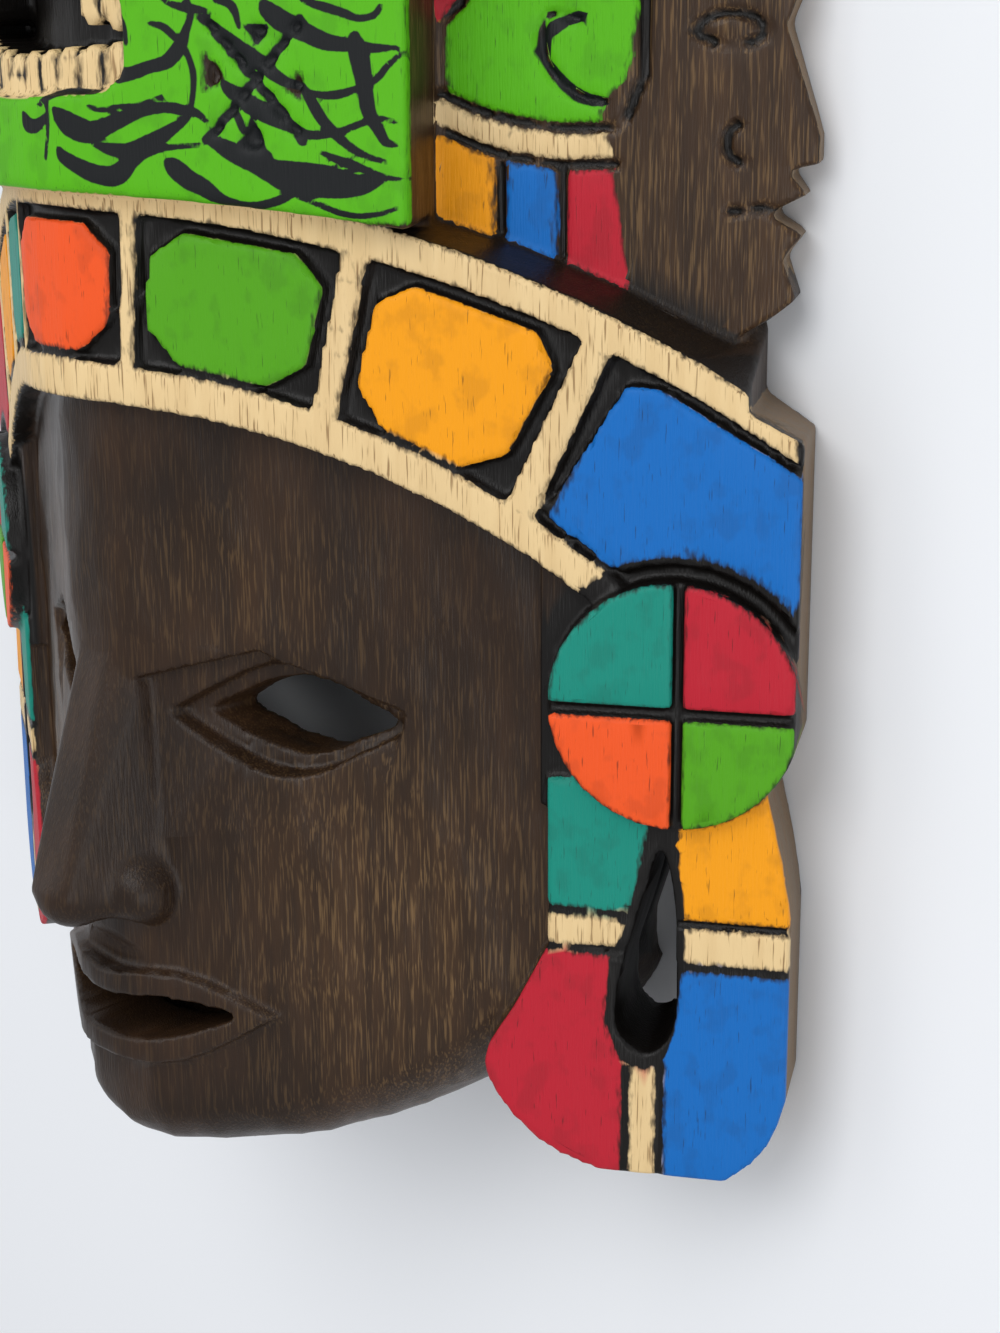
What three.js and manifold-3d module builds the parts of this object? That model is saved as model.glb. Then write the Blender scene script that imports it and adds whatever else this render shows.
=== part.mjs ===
import * as THREE from 'three';
import { mergeVertices } from 'three/addons/utils/BufferGeometryUtils.js';
import { ConvexGeometry } from 'three/addons/geometries/ConvexGeometry.js';
import Module from 'manifold-3d';

// A mask carved in one from half a log, lying on its back. Millimetres.
// x runs across the mask and z out of the face from the plane that the rim lies on.
// Heights run up the mask from a base line that the chin reaches a little below.

// The log: two flat panels that meet in a rounded prow down the middle
const maskLength = 310;
const chinDrop = 8;
const crestHeight = maskLength - chinDrop;
const halfWidth = 124.5;
const panelAngle = THREE.MathUtils.degToRad(31.5);
const spoolX = 106;
const spoolHeight = 99;
const spoolRise = 29;
const prowRadius = 28;
const prowSteps = 7;

// Depths below or above the panel's face, along its normal
const groundDepth = 2.5;
const faceDepth = 6;
const boardDepth = 13;
const animalLift = 7;
const wallDepth = 22;
const pendantThickness = 22;

// The hollow behind
const rimWidth = 29.5;
const cavityFoot = 17;
const cavityTop = 262;
const cavityShoulder = 46;
const cavityProwRadius = 8;

// The headband: two arched strips with dividers and stones between them
const lowStrip = { crown: 153.3, radius: 140, width: 7.7, end: 96 };
const bandHeight = 35.8;
const highStrip = { crown: lowStrip.crown + bandHeight, radius: 200, width: 6.6, end: 125 };
const cornerDrop = 10;
const dividers = [
  { foot: 15.8, head: 17.3, width: 2.6 },
  { foot: 48.6, head: 54, width: 4.3 },
  { foot: 80, head: 92.2, width: 5 },
];
const stoneGap = 2;
const stoneChamfer = 5.5;

// The face, in thirds from the headband to the chin, with one eye's width as its unit
const jawHalfWidth = 86;
const jawCentre = 62;
const jawRounding = 6;
const jawEase = { depth: 16, side: 4, foot: 13, steps: 4 };
const hairline = lowStrip.crown;
const third = (hairline + chinDrop) / 3;
const noseBase = third - chinDrop;
const browLine = 2 * third - chinDrop;
const eyeLine = browLine - third * 0.18;
const mouthLine = noseBase - third / 3;
const eyeWidth = 2 * jawHalfWidth / 5;
const eyeOpening = 16;
const lidMargin = 4.5;
const lidDepth = 2.5;
const socketDepth = 3.5;
const mouthHalfWidth = 29;
const mouthOpening = 10;
const lipWidth = 5;
const lipLift = 2.5;
const noseProjection = 16;
const noseRidge = 5.8;
const noseWing = { across: 6, up: 7, out: 7 };

// The ear spool, with its crossed grooves a little off its middle
const spoolRadius = 23.8;
const spoolLift = 2.2;
const spoolRing = 3;
const crossOffset = { along: 0.8, up: -1.2 };
const crossGroove = 2.2;
const crossDepth = 2.2;

// The ear pendant, a drop-shaped loop below the spool
const pendantTop = 84;
const pendantFoot = 3.2;
const pendantDepth = 0.8;
const loopBack = { scale: 0.62, drop: 2.5 };
const bandGroove = 1.4;
const bandDepth = 1.6;
const outerBand = { low: 48, high: 56.6 };
const innerBand = { low: 50, high: 57.6 };
const footBlock = { inner: -9.4, outer: -2.8, top: 27 };

// The profile head on each side, on a board set back behind the headband
const profileChin = 171;
const profileThird = 27;
const profileHairline = profileChin + 3 * profileThird;
const boardTop = crestHeight - 19;
const boardInner = -78;
const lineGroove = 1.8;
const lineDepth = 1.6;
const collarWidth = 6.5;
const scroll = { x: 84.9, height: 219, radius: 10.6 };

// The animal's head over the brow, its side walls square to the panels
const animalEdge = -48.6;
const animalFoot = { crown: highStrip.crown + 3.4, radius: 400 };
const animalShoulder = 262;
const jawTop = 209;
const gapeHalfWidth = 22.6;
const gapeTop = 240;
const gapeDepth = 13;
const toothCount = 11;
const toothGap = 0.7;
const lowToothHeight = 8;
const highToothHeight = 9;
const fangHeight = 18;
const toothSink = 2.5;
const toothRound = 1.2;
const snoutHalfWidth = 27;
const snoutRise = 20;
const snoutLift = 14;
const nostril = { x: 9, drop: 9, across: 3.6, up: 2.6, depth: 4 };
const animalEye = { x: 40, height: 262, radius: 8.5, lift: 10.5, rim: 2.6, sink: 2 };
const ear = { x: 50, foot: 268, height: 30, lift: 11, sink: 3 };
const mark = { x: 44.4, height: 212.9, across: 7.5, up: 10.3, groove: 1.6, depth: 2 };

// How far cutters run past what they cut
const past = 30;
const arcSteps = 14;

const wasm = await Module();
wasm.setup();

const slope = Math.tan(panelAngle);
const lean = Math.sin(panelAngle);
const face = Math.cos(panelAngle);
const boardEdge = (halfWidth - spoolX) / face;

// Geometry to a solid that can be joined and cut
function solid(geometry) {
  const bare = geometry.index ? geometry.toNonIndexed() : geometry.clone();
  bare.deleteAttribute('normal');
  bare.deleteAttribute('uv');
  const merged = mergeVertices(bare, 1e-4);
  const vertProperties = new Float32Array(merged.attributes.position.array);
  const triVerts = new Uint32Array(merged.index.array);
  return new wasm.Manifold(new wasm.Mesh({ numProp: 3, vertProperties, triVerts }));
}

function mirrored(shape) {
  const mesh = shape.getMesh();
  const vertProperties = new Float32Array(mesh.vertProperties);
  const triVerts = new Uint32Array(mesh.triVerts);
  for (let i = 0; i < vertProperties.length; i += mesh.numProp) vertProperties[i] *= -1;
  for (let i = 0; i < triVerts.length; i += 3) triVerts.subarray(i + 1, i + 3).reverse();
  return new wasm.Manifold(new wasm.Mesh({ numProp: mesh.numProp, vertProperties, triVerts }));
}

const pair = (shape) => shape.add(mirrored(shape));
const joined = (shapes) => shapes.reduce((whole, shape) => whole.add(shape));
const point = ([x, y]) => new THREE.Vector2(x, y);

// Points given as shares of a size, from a corner
const shared = (points, size, x = 0, y = 0) => points.map(([a, b]) => [x + a * size, y + b * size]);

function extruded(points, depth) {
  const settings = { depth, bevelEnabled: false, steps: 1 };
  return new THREE.ExtrudeGeometry(new THREE.Shape(points.map(point)), settings);
}

// A prism seen from the front, running the whole depth of the log
function frontPrism(points, low = -past, high = maskLength / 2) {
  return solid(extruded(points, high - low).translate(0, 0, low));
}

// A prism square to the right panel: points are along the panel from the spool, and up
function panelPrism(points, low = -4 * past, high = past) {
  const geometry = extruded(points, high - low).translate(0, 0, low);
  return solid(geometry.rotateY(panelAngle).translate(spoolX, 0, spoolRise));
}

// A prism across the mask: points are height and z
function sidePrism(points, half) {
  const geometry = extruded(points.map(([height, z]) => [z, height]), 2 * half);
  return solid(geometry.translate(0, 0, -half).rotateY(-Math.PI / 2));
}

// Front of the panels at a distance across, raised by lift along the normal
function panelZ(x, lift = 0, radius = prowRadius) {
  const reach = Math.abs(x);
  const round = (radius + lift) * lean;
  const edge = spoolRise + (spoolX - reach) * slope + lift / face;
  if (reach >= round) return edge;
  const centre = spoolRise + spoolX * slope - radius / face;
  return centre + Math.sqrt((radius + lift) ** 2 - reach ** 2);
}

function under(lift, radius = prowRadius, half = halfWidth + past) {
  const round = (radius + lift) * lean;
  const side = panelZ(half, lift, radius);
  const points = [[-half, side - past], [half, side - past], [half, side]];
  for (let i = 0; i <= prowSteps; i += 1) {
    const x = round * Math.cos(Math.PI * i / prowSteps);
    points.push([x, panelZ(x, lift, radius)]);
  }
  points.push([-half, side]);
  const geometry = extruded(points, maskLength + 2 * past);
  return solid(geometry.rotateX(Math.PI / 2).translate(0, maskLength + past, 0));
}

// The part of the log inside a front outline, with its face raised by lift
const raised = (outline, lift) => frontPrism(outline).intersect(under(lift));
const cutTo = (outline, depth) => frontPrism(outline).subtract(under(-depth));

function archHeight(x, arch) {
  return arch.crown - arch.radius + Math.sqrt(arch.radius ** 2 - x ** 2);
}

const raisedArch = (arch, by) => ({ crown: arch.crown + by, radius: arch.radius });

// The outline between two arches, from one distance across to another
function archOutline(low, high, from, to) {
  const lowSide = [];
  const highSide = [];
  for (let i = 0; i <= arcSteps; i += 1) {
    const x = from + (to - from) * i / arcSteps;
    lowSide.push([x, archHeight(x, low)]);
    highSide.unshift([x, archHeight(x, high)]);
  }
  return [...lowSide, ...highSide];
}

const curve = (points, count, closed = false) =>
  new THREE.SplineCurve((closed ? [...points, points[0]] : points).map(point))
    .getPoints(count).slice(0, closed ? -1 : undefined).map((p) => [p.x, p.y]);

function ellipsePoints(x, height, halfAcross, halfUp, from, to, count) {
  const points = [];
  for (let i = 0; i <= count; i += 1) {
    const turn = from + (to - from) * i / count;
    points.push([x + halfAcross * Math.cos(turn), height + halfUp * Math.sin(turn)]);
  }
  return points;
}

const ellipse = (x, height, halfAcross, halfUp, count) =>
  ellipsePoints(x, height, halfAcross, halfUp, 0, 2 * Math.PI, count).slice(0, -1);

// A quadrilateral with its corners cut off, by a third of its shortest side at most
function cutCorners(corners, chamfer) {
  const after = corners.map((corner, i) => corners[(i + 1) % corners.length]);
  const sides = corners.map((corner, i) => point(corner).distanceTo(point(after[i])));
  const reach = Math.min(chamfer, ...sides.map((side) => side / 3));
  return corners.flatMap((corner, i) => {
    const before = corners[(i + corners.length - 1) % corners.length];
    return [before, after[i]].map((other) => {
      const step = point(other).sub(point(corner)).normalize().multiplyScalar(reach);
      return [corner[0] + step.x, corner[1] + step.y];
    });
  });
}

// A groove of one width along a line of points
function strokeOutline(points, width) {
  const left = [];
  const right = [];
  points.forEach(([x, y], i) => {
    const a = points[Math.max(i - 1, 0)];
    const b = points[Math.min(i + 1, points.length - 1)];
    const run = Math.hypot(b[0] - a[0], b[1] - a[1]);
    const across = [-(b[1] - a[1]) / run * width / 2, (b[0] - a[0]) / run * width / 2];
    left.push([x + across[0], y + across[1]]);
    right.unshift([x - across[0], y - across[1]]);
  });
  return [...right, ...left];
}

// A closed skin over rings of as many points each, counter-clockwise, from the lowest to the highest
function skinned(rings) {
  const count = rings[0].length;
  const last = (rings.length - 1) * count;
  const index = [];
  const cap = (ring) => THREE.ShapeUtils.triangulateShape(ring.map(point), []);
  cap(rings.at(-1)).forEach(([a, b, c]) => index.push(last + a, last + b, last + c));
  cap(rings[0]).forEach(([a, b, c]) => index.push(a, c, b));
  for (let low = 0; low < last; low += count) {
    for (let i = 0; i < count; i += 1) {
      const next = (i + 1) % count;
      const high = low + count;
      index.push(low + i, low + next, high + next, low + i, high + next, high + i);
    }
  }
  const geometry = new THREE.BufferGeometry();
  geometry.setAttribute('position', new THREE.Float32BufferAttribute(rings.flat(2), 3));
  geometry.setIndex(index);
  return geometry;
}

function ball(centre, radii) {
  return solid(new THREE.SphereGeometry(1, 14, 10).scale(...radii).translate(...centre));
}

// A hole square to the panel whose back is smaller than its front
function taperedHole(front, middle, scale, drop, low, high) {
  const back = front.map(([x, y]) => [
    middle[0] + (x - middle[0]) * scale,
    middle[1] + (y - middle[1]) * scale - drop,
  ]);
  const order = [...front.keys()];
  if (THREE.ShapeUtils.isClockWise(front.map(point))) order.reverse();
  const rings = [order.map((i) => [...back[i], low]), order.map((i) => [...front[i], high])];
  return solid(skinned(rings).rotateY(panelAngle).translate(spoolX, 0, spoolRise));
}

// The face's outline at a share of the jaw's easing, so far above or below the face's surface
function jawRing(inset, rise) {
  const half = jawHalfWidth - inset * jawEase.side;
  const drop = jawCentre + chinDrop - inset * jawEase.foot;
  const outline = [
    ...ellipsePoints(0, jawCentre, half, drop, Math.PI, 2 * Math.PI, 28),
    [half, hairline],
    [-half, hairline],
  ];
  return outline.map(([x, y]) => [x, y, panelZ(x, -faceDepth) + rise]);
}

// The face, a rounded V whose jaw and chin are eased towards the front, before it is pierced
function faceBlock() {
  const level = (ring, z) => ring.map(([x, y]) => [x, y, z]);
  const rings = [level(jawRing(0, 0), -past)];
  for (let i = 0; i < jawEase.steps; i += 1) {
    const turn = Math.PI / 2 * i / jawEase.steps;
    rings.push(jawRing(1 - Math.cos(turn), (Math.sin(turn) - 1) * jawEase.depth));
  }
  rings.push(jawRing(1.2, jawEase.depth / 10), level(jawRing(1.2, 0), maskLength));
  const apex = panelZ(0, -faceDepth);
  const lip = mouthLine - mouthOpening;
  const profile = [
    [-past, -past],
    [-past, apex - jawRounding],
    [lip - third / 3, apex - jawRounding / 3],
    [lip - third / 6, apex - jawRounding / 4],
    [lip, apex - jawRounding / 2],
    [mouthLine, apex - jawRounding / 2],
    [noseBase - third / 8, apex - jawRounding / 3],
    [noseBase + third / 8, apex + faceDepth],
    [hairline + past, apex + faceDepth],
    [hairline + past, -past],
  ];
  return solid(skinned(rings)).intersect(under(-faceDepth)).intersect(sidePrism(profile, halfWidth));
}

// A straight wedge with a flat ridge, a rounded tip and two wings, as wide at its foot as one eye
function nose() {
  const ridge = panelZ(0, -faceDepth);
  const wing = eyeWidth / 2 - noseWing.across;
  const wingZ = panelZ(wing, -faceDepth);
  const soft = third / 12;
  const tip = noseBase + noseWing.up;
  const points = [];
  for (const side of [-1, 1]) {
    points.push([side * noseRidge * 0.85, browLine + soft, ridge - 1]);
    points.push([side * (noseRidge + soft), browLine - soft, wingZ]);
    points.push([side * noseRidge, tip, ridge + noseProjection - 1]);
    points.push([side * noseRidge, noseBase + soft / 3, ridge + noseProjection - 1.5 * soft]);
    points.push([side * (wing + soft / 2), noseBase + soft / 3, wingZ]);
    points.push([side * (wing + soft / 2), noseBase + 3.5 * soft, wingZ - 1]);
    points.push([side * noseRidge, noseBase + soft, wingZ - past]);
    points.push([side * noseRidge, browLine, wingZ - past]);
  }
  const bridge = solid(new ConvexGeometry(points.map((p) => new THREE.Vector3(...p))));
  const wings = pair(ball([wing, tip, wingZ + 1.5], [noseWing.across, noseWing.up, noseWing.out]));
  const end = ball([0, tip - 0.5, ridge + noseProjection - 8], [noseRidge + 2.2, noseWing.up, 8]);
  const nostrils = pair(ball([noseRidge + 1, noseBase - 0.5, ridge + 4], [2.8, 3, 5]));
  return joined([bridge, wings, end]).subtract(nostrils);
}

// The eye's almond, level and pointed at both ends
function almond(margin) {
  const inner = eyeWidth / 2 - margin;
  const outer = 1.5 * eyeWidth + margin;
  const middle = (inner + outer) / 2;
  const rise = eyeOpening / 2 + margin * 0.8;
  const upper = curve([[inner, eyeLine], [middle, eyeLine + rise], [outer, eyeLine]], 12);
  const lower = curve([[outer, eyeLine], [middle, eyeLine - rise], [inner, eyeLine]], 12);
  return [...upper.reverse().slice(0, -1), ...lower.reverse().slice(0, -1)];
}

function mouthOutline(margin) {
  const half = mouthHalfWidth + margin;
  const high = mouthLine + mouthOpening / 4 + margin;
  const low = mouthLine - mouthOpening * 0.75 - margin;
  const bow = mouthOpening / 8;
  const upper = [[half, mouthLine], [half / 2, high], [0, high - bow], [-half / 2, high], [-half, mouthLine]];
  const foot = low + bow;
  const lower = [[-half, mouthLine], [-half / 2, foot], [0, low], [half / 2, foot], [half, mouthLine]];
  return [...curve(upper, 16).slice(0, -1), ...curve(lower, 16).slice(0, -1)];
}

// The lips stand proud below the nose and end short of it
function lips() {
  const front = panelZ(0, lipLift);
  const below = [[-chinDrop, 0], [-chinDrop, front], [noseBase, front], [noseBase, 0]];
  return raised(mouthOutline(lipWidth), lipLift - faceDepth).intersect(sidePrism(below, halfWidth));
}

// The hollow of each eye socket, deepest under the brow
function socket() {
  const deep = -faceDepth - socketDepth;
  const shallow = -faceDepth + 0.5;
  const along = (x) => (x - spoolX) / face;
  const corners = [
    [along(noseRidge + lidMargin), browLine - third / 16, deep],
    [along(eyeWidth), browLine + third / 12, deep],
    [along(1.75 * eyeWidth), browLine - third / 9, deep + socketDepth / 2],
    [along(noseRidge + lidMargin), noseBase + third / 4, shallow],
    [along(1.5 * eyeWidth), noseBase + third / 3, shallow],
  ];
  const points = corners.flatMap(([x, y, z]) => [new THREE.Vector3(x, y, z), new THREE.Vector3(x, y, past)]);
  return solid(new ConvexGeometry(points).rotateY(panelAngle).translate(spoolX, 0, spoolRise));
}

// The ground of the headband and of the board behind the spool, sunk below what stands on it
function headbandGround() {
  const band = archOutline(lowStrip, raisedArch(highStrip, highStrip.width), -highStrip.end, highStrip.end);
  const inner = -spoolRadius - spoolRing;
  const board = panelPrism([
    [inner, pendantTop - past / 5],
    [boardEdge + past, pendantTop - past / 5],
    [boardEdge + past, archHeight(highStrip.end, highStrip)],
    [inner, archHeight(lowStrip.end, lowStrip) + past],
  ]);
  return raised(band, -groundDepth).add(pair(board.intersect(under(-groundDepth))));
}

function strips() {
  return joined([lowStrip, highStrip].map((strip) =>
    raised(archOutline(strip, raisedArch(strip, strip.width), -strip.end, strip.end), 0)));
}

function dividerX(divider, height) {
  const low = archHeight(divider.foot, lowStrip) + lowStrip.width;
  const high = archHeight(divider.head, highStrip);
  return divider.foot + (divider.head - divider.foot) * (height - low) / (high - low);
}

function dividerBars() {
  const bars = dividers.map((divider) => {
    const low = archHeight(divider.foot, lowStrip) + lowStrip.width / 2;
    const high = archHeight(divider.head, highStrip) + highStrip.width / 3;
    const line = [[dividerX(divider, low), low], [dividerX(divider, high), high]];
    return raised(strokeOutline(line, divider.width), 0);
  });
  return pair(joined(bars));
}

// The corner of a stone beside a divider, under or over a strip
function stoneCorner(divider, side, top) {
  const middle = top ? divider.head : divider.foot;
  const arch = top ? highStrip : raisedArch(lowStrip, lowStrip.width);
  const x = middle + side * (divider.width / 2 + stoneGap);
  return [x, archHeight(x, arch) + (top ? -stoneGap : stoneGap)];
}

function stones() {
  const right = dividers.slice(1).map((divider, i) => raised(cutCorners([
    stoneCorner(dividers[i], 1, false),
    stoneCorner(divider, -1, false),
    stoneCorner(divider, -1, true),
    stoneCorner(dividers[i], 1, true),
  ], stoneChamfer), 0));
  const foot = stoneCorner(dividers[0], -1, false);
  const head = stoneCorner(dividers[0], -1, true);
  const middle = raised(cutCorners([[-foot[0], foot[1]], foot, head, [-head[0], head[1]]], stoneChamfer), 0);
  return middle.add(pair(joined(right)));
}

// The last stone runs over the ear spool and out to the board's edge
function earStone() {
  const last = dividers.at(-1);
  const foot = stoneCorner(last, 1, false);
  const head = stoneCorner(last, 1, true);
  const end = archHeight(highStrip.end, highStrip);
  const outline = [
    [foot[0] + stoneGap, spoolHeight],
    [halfWidth + past, spoolHeight],
    [halfWidth + past, end - past / 2],
    [highStrip.end, end - stoneGap],
    [head[0] + stoneChamfer, archHeight(head[0] + stoneChamfer, highStrip) - stoneGap],
    [head[0], head[1] - stoneChamfer / 2],
    [foot[0], foot[1] + stoneGap],
  ];
  const over = raisedArch(lowStrip, lowStrip.width + stoneGap);
  const strip = frontPrism(archOutline(raisedArch(lowStrip, -past), over, 0, lowStrip.end + stoneGap));
  return raised(outline, 0).subtract(strip).subtract(spoolDisc(spoolRadius + spoolRing, -past, past));
}

function spoolDisc(radius, low, high) {
  return panelPrism(ellipse(-crossOffset.along, spoolHeight - crossOffset.up, radius, radius, 40), low, high);
}

function spoolCross() {
  const reach = spoolRadius + past / 5;
  const upright = strokeOutline([[0, spoolHeight - reach], [0, spoolHeight + reach]], crossGroove);
  const level = strokeOutline([[-reach, spoolHeight], [reach, spoolHeight]], crossGroove);
  const low = spoolLift - crossDepth;
  return panelPrism(upright, low, past).add(panelPrism(level, low, past));
}

// The drop's outline, as shares of its length from its foot below the spool
function pendantOutline() {
  const outer = curve([
    [0.204, 1], [0.26, 0.74], [0.285, 0.48], [0.277, 0.27], [0.223, 0.097], [0.124, 0],
  ], 14);
  const inner = curve([
    [-0.173, 0], [-0.322, 0.059], [-0.433, 0.177], [-0.464, 0.282], [-0.39, 0.418], [-0.309, 0.579],
  ], 14);
  const outline = [...outer, ...inner, [-0.309, 1]].reverse();
  return shared(outline, pendantTop - pendantFoot, 0, pendantFoot);
}

function loopOutline() {
  const loop = [
    [-0.04, 0.926], [-0.002, 0.777], [0.009, 0.554], [0.002, 0.369],
    [-0.068, 0.288], [-0.153, 0.344], [-0.156, 0.48], [-0.111, 0.666],
  ];
  return shared(curve(loop, 26, true), pendantTop - pendantFoot, 0, pendantFoot);
}

function pendant() {
  const slab = panelPrism(pendantOutline(), -pendantThickness, -pendantDepth);
  const grooves = [
    [[0, outerBand.high], [past, outerBand.high]],
    [[0, outerBand.low], [past, outerBand.low]],
    [[-past, innerBand.high + bandGroove / 2], [-footBlock.top / 5, innerBand.high]],
    [[-past, innerBand.low + bandGroove / 2], [-footBlock.top / 4, innerBand.low]],
    [[footBlock.inner, -past], [footBlock.inner, footBlock.top]],
    [[footBlock.outer, -past], [footBlock.outer, footBlock.top]],
  ].map((line) => panelPrism(strokeOutline(line, bandGroove), -pendantDepth - bandDepth, past));
  return slab.subtract(joined(grooves));
}

function loops() {
  const length = pendantTop - pendantFoot;
  const middle = [-0.037 * length, pendantFoot + 0.604 * length];
  return pair(taperedHole(loopOutline(), middle, loopBack.scale, loopBack.drop, -wallDepth - past, past));
}

// One profile head facing outwards, in shares of its third: chin, lips, nose, brow, hairline
function profileOutline() {
  const front = [
    [0.22, -1.1], [0.22, -0.19], [0.48, -0.04], [0.67, 0.11], [0.57, 0.37], [0.7, 0.54],
    [0.46, 0.67], [0.72, 0.8], [0.59, 0.96], [0.8, 1], [0.8, 1.19], [0.56, 1.89],
    [0.65, 2.11], [0.61, 2.93], [0.72, 3], [0.72, 3.37],
  ];
  const dress = boardTop - profileHairline;
  const plume = curve([[0.48, 0.42], [0.3, 0.72], [-0.16, 0.94], [-0.77, 1]], 10);
  return [
    [boardInner, profileChin - profileThird],
    ...shared(front, profileThird, 0, profileChin),
    ...shared(plume, dress, 0, profileHairline),
    [boardInner, boardTop],
  ];
}

// Where the collar's lower edge runs under the profile head, as distances across and heights
const collarLine = [[57, 203.8], [64.9, 200], [70.5, 198.4], [77.4, 197.2], [87, 197.6]];
const collarDrops = [{ x: 67.9, low: 181 }, { x: 77.8, low: 176 }];

// Lines carved on the board
function boardLines() {
  const third = profileThird;
  const cheek = collarLine.at(-1)[0];
  const at = (x, up) => [cheek + x * third, profileChin + up * third];
  const arc = (middle, across, up, from, to, count) =>
    ellipsePoints(...middle, across, up, from * Math.PI, to * Math.PI, count);
  const nosewing = arc(at(0.72, 1.13), 0.13 * third, 0.14 * third, 0.6, 1.6, 6);
  const hook = arc([scroll.x, scroll.height], scroll.radius, scroll.radius, 1.5, 0.85, 10);
  const band = profileHairline + third / 3;
  return [
    collarLine,
    collarLine.map(([x, height]) => [x, height + collarWidth]),
    ...collarDrops.map(({ x, low }) => [[x, 198], [x, low]]),
    [[cheek, 204], [cheek + third / 8, 213], [cheek + third / 8, 238], [cheek, 246]],
    [...hook, [78.6, 223.2], [82, 222.4]],
    [[59, 222], [69, 236], [79, 243], [cheek, 246], [cheek + 0.9 * third, profileHairline - 1]],
    [[59, band], [cheek + 1.2 * third, band]],
    [[76, band], [71, boardTop + third / 9]],
    [[91, band], [85, boardTop + third / 9]],
    [at(0.6, 0.68), at(0.83, 0.71), at(1.6, 0.67)],
    nosewing,
    [at(0.38, 1.85), at(0.53, 1.96), at(0.7, 1.96), at(0.85, 1.85)],
    [at(0.38, 1.85), at(0.55, 1.76), at(0.7, 1.76), at(0.85, 1.85)],
  ];
}

function boards() {
  const outline = panelPrism(profileOutline());
  const lines = boardLines().map((line) => cutTo(strokeOutline(line, lineGroove), boardDepth + lineDepth));
  return outline.intersect(under(-boardDepth)).subtract(joined(lines).intersect(outline));
}

// The animal's head: a block with an open mouth, its teeth, snout, eyes and ears
function animalBlock() {
  const half = spoolX + animalEdge * face + past;
  const foot = archOutline(animalFoot, animalFoot, -half, half).slice(0, arcSteps + 1);
  const brow = [[0.66, 0], [0.6, 0.5], [0.36, 0.88], [0, 1], [-0.36, 0.88], [-0.6, 0.5], [-0.66, 0]];
  const rise = crestHeight - animalShoulder;
  const crown = curve(brow.map(([x, y]) => [x * spoolX, animalShoulder + y * rise]), 18);
  const top = maskLength + past;
  const far = [[animalEdge, -past], [past, -past], [past, top], [animalEdge, top]];
  const block = raised([...foot, [half, animalShoulder], ...crown, [-half, animalShoulder]], animalLift);
  return block.subtract(pair(panelPrism(far)));
}

function gapeOutline() {
  const rise = gapeTop - jawTop;
  const corner = [gapeHalfWidth, jawTop + rise / 9];
  const half = [corner, [gapeHalfWidth, gapeTop - rise / 3], [gapeHalfWidth * 0.7, gapeTop - 1]];
  const foot = [gapeHalfWidth / 2, jawTop + 1];
  const left = half.map(([x, y]) => [-x, y]).reverse();
  return curve([[0, jawTop], foot, ...half, [0, gapeTop], ...left, [-foot[0], foot[1]]], 28, true);
}

function teeth() {
  const pitch = 2 * gapeHalfWidth / toothCount;
  const rows = [];
  for (let i = 0; i < toothCount; i += 1) {
    const left = -gapeHalfWidth + i * pitch + toothGap / 2;
    const right = left + pitch - toothGap;
    const rise = Math.abs(left + right) / 2 / gapeHalfWidth * toothSink;
    const top = jawTop + lowToothHeight + rise;
    const fromCorner = Math.min(i, toothCount - 1 - i);
    const drop = fromCorner < 2 ? fangHeight + 1 - fromCorner : highToothHeight;
    const tip = gapeTop - drop;
    const inset = toothRound;
    rows.push([
      [left, jawTop - fangHeight / 4], [right, jawTop - fangHeight / 4],
      [right, top - inset], [right - inset, top], [left + inset, top], [left, top - inset],
    ]);
    rows.push([
      [left, gapeTop + inset], [left, tip + 2 * inset], [left + inset, tip], [right - inset, tip],
      [right, tip + 2 * inset], [right, gapeTop + inset],
    ]);
  }
  return joined(rows.map((outline) => raised(outline, animalLift - toothSink)));
}

function snout() {
  const middle = gapeTop + snoutRise - snoutHalfWidth / 2;
  const outline = [
    ...ellipsePoints(0, middle, snoutHalfWidth, snoutHalfWidth / 2, 0, Math.PI, 12),
    [-snoutHalfWidth, gapeTop + 2],
    [-snoutHalfWidth / 2, gapeTop - 1],
    [snoutHalfWidth / 2, gapeTop - 1],
    [snoutHalfWidth, gapeTop + 2],
  ];
  const hole = ellipse(nostril.x, gapeTop + snoutRise - nostril.drop, nostril.across, nostril.up, 10);
  return raised(outline, snoutLift).subtract(pair(cutTo(hole, nostril.depth - snoutLift)));
}

function animalEyes() {
  const { x, height, radius, lift, rim, sink } = animalEye;
  const ring = raised(ellipse(x, height, radius + rim, radius, 16), lift);
  return pair(ring.subtract(cutTo(ellipse(x, height, radius, radius - rim, 14), sink - lift)));
}

// Each ear is a rounded leaf, in shares of its height, with a sunk inside
function ears() {
  const leaf = [[-0.5, 0.2], [-0.36, 0.75], [0, 1], [0.26, 0.7], [0.3, 0.1], [-0.12, 0]];
  const inside = [[-0.3, 0.32], [-0.2, 0.66], [-0.02, 0.8], [0.12, 0.6], [0.12, 0.25], [-0.1, 0.18]];
  const outer = curve(shared(leaf, ear.height, ear.x, ear.foot), 16, true);
  const inner = curve(shared(inside, ear.height, ear.x, ear.foot), 14, true);
  const slab = raised(outer, ear.lift).subtract(under(-wallDepth));
  return pair(slab.subtract(cutTo(inner, ear.sink - ear.lift)));
}

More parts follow.
